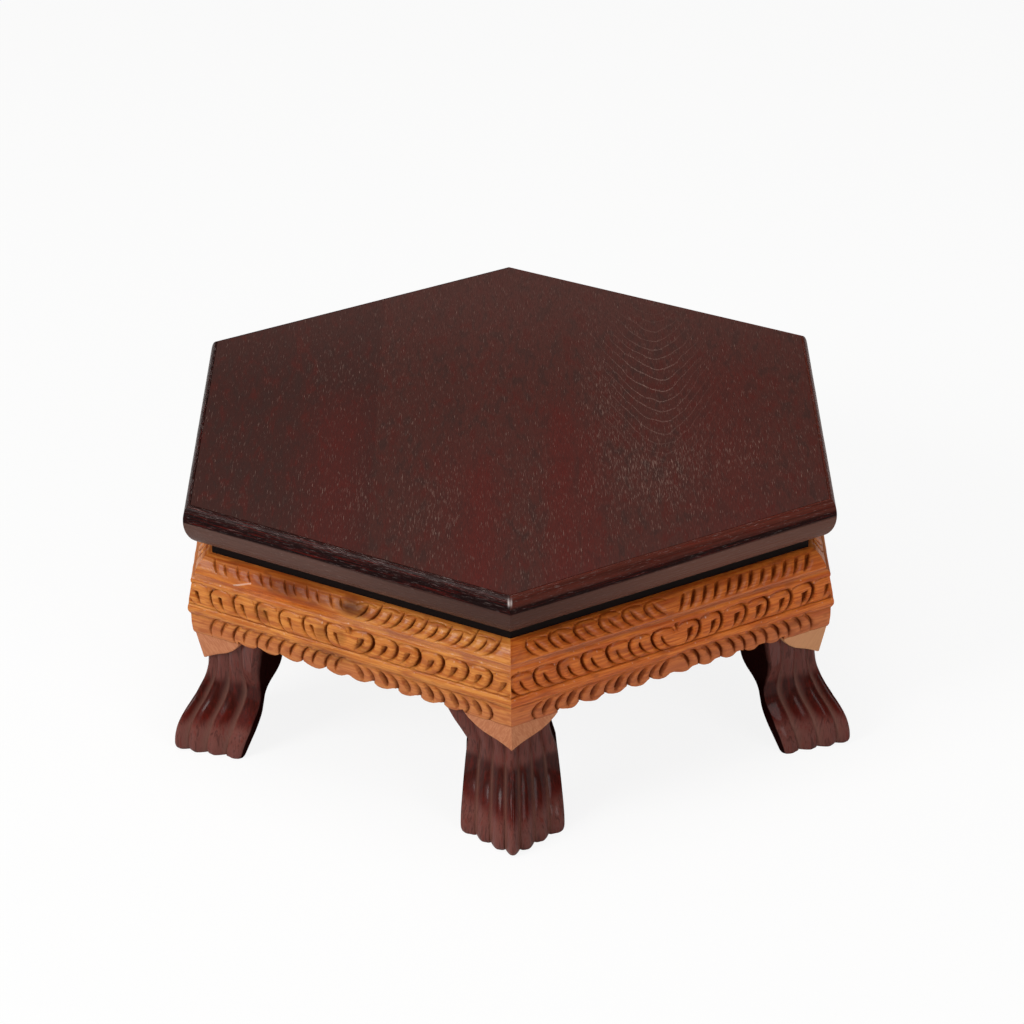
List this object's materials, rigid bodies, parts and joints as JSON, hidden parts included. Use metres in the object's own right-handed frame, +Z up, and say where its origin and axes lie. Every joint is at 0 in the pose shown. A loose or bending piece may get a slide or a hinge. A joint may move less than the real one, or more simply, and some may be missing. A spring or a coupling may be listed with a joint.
{
  "type": "low table",
  "caption": "Low hexagonal bajot table: dark moulded top, carved leaf-scroll apron with corner pendants and reeded paw legs.",
  "frame": {"origin": "on the floor, under the middle of the table", "axes": "+Z up; one corner and its leg point to -Y, so two sides of the six lie square to X"},
  "size_m": [0.4708, 0.542, 0.188],
  "materials": {
    "stained_top": "stained and polished, open pores filled grey",
    "stained_edge": "dark stained, glossy polish",
    "dark_frame": "dark stained",
    "oiled_teak": "hand carved, varnished",
    "pendant_teak": "planed, thinly oiled and left dull",
    "stained_leg": "maroon stain, glossy polish",
    "plain_teak": "planed, unfinished",
    "screw_steel": "plain steel"
  },
  "bodies": {
    "root": {"top_board_left": "stained_top", "top_board_inner_left": "stained_top", "top_board_inner_right": "stained_top", "top_board_right": "stained_top", "batten_front": "plain_teak", "batten_back": "plain_teak", "edge_moulding_right": "stained_edge", "neck_frame_right": "dark_frame", "apron_right": "oiled_teak", "pendant_right_left_end": "pendant_teak", "pendant_right_right_end": "pendant_teak", "edge_moulding_back_right": "stained_edge", "neck_frame_back_right": "dark_frame", "apron_back_right": "oiled_teak", "pendant_back_right_left_end": "pendant_teak", "pendant_back_right_right_end": "pendant_teak", "edge_moulding_back_left": "stained_edge", "neck_frame_back_left": "dark_frame", "apron_back_left": "oiled_teak", "pendant_back_left_left_end": "pendant_teak", "pendant_back_left_right_end": "pendant_teak", "edge_moulding_left": "stained_edge", "neck_frame_left": "dark_frame", "apron_left": "oiled_teak", "pendant_left_left_end": "pendant_teak", "pendant_left_right_end": "pendant_teak", "edge_moulding_front_left": "stained_edge", "neck_frame_front_left": "dark_frame", "apron_front_left": "oiled_teak", "pendant_front_left_left_end": "pendant_teak", "pendant_front_left_right_end": "pendant_teak", "edge_moulding_front_right": "stained_edge", "neck_frame_front_right": "dark_frame", "apron_front_right": "oiled_teak", "pendant_front_right_left_end": "pendant_teak", "pendant_front_right_right_end": "pendant_teak", "leg_back_right": "stained_leg", "corner_brace_back_right": "plain_teak", "leg_back": "stained_leg", "corner_brace_back": "plain_teak", "leg_back_left": "stained_leg", "corner_brace_back_left": "plain_teak", "leg_front_left": "stained_leg", "corner_brace_front_left": "plain_teak", "leg_front": "stained_leg", "corner_brace_front": "plain_teak", "leg_front_right": "stained_leg", "corner_brace_front_right": "plain_teak", "batten_screws": "screw_steel", "top_screws": "screw_steel", "neck_screws": "screw_steel", "brace_screws": "screw_steel", "leg_screws": "screw_steel"}
  },
  "joints": []
}
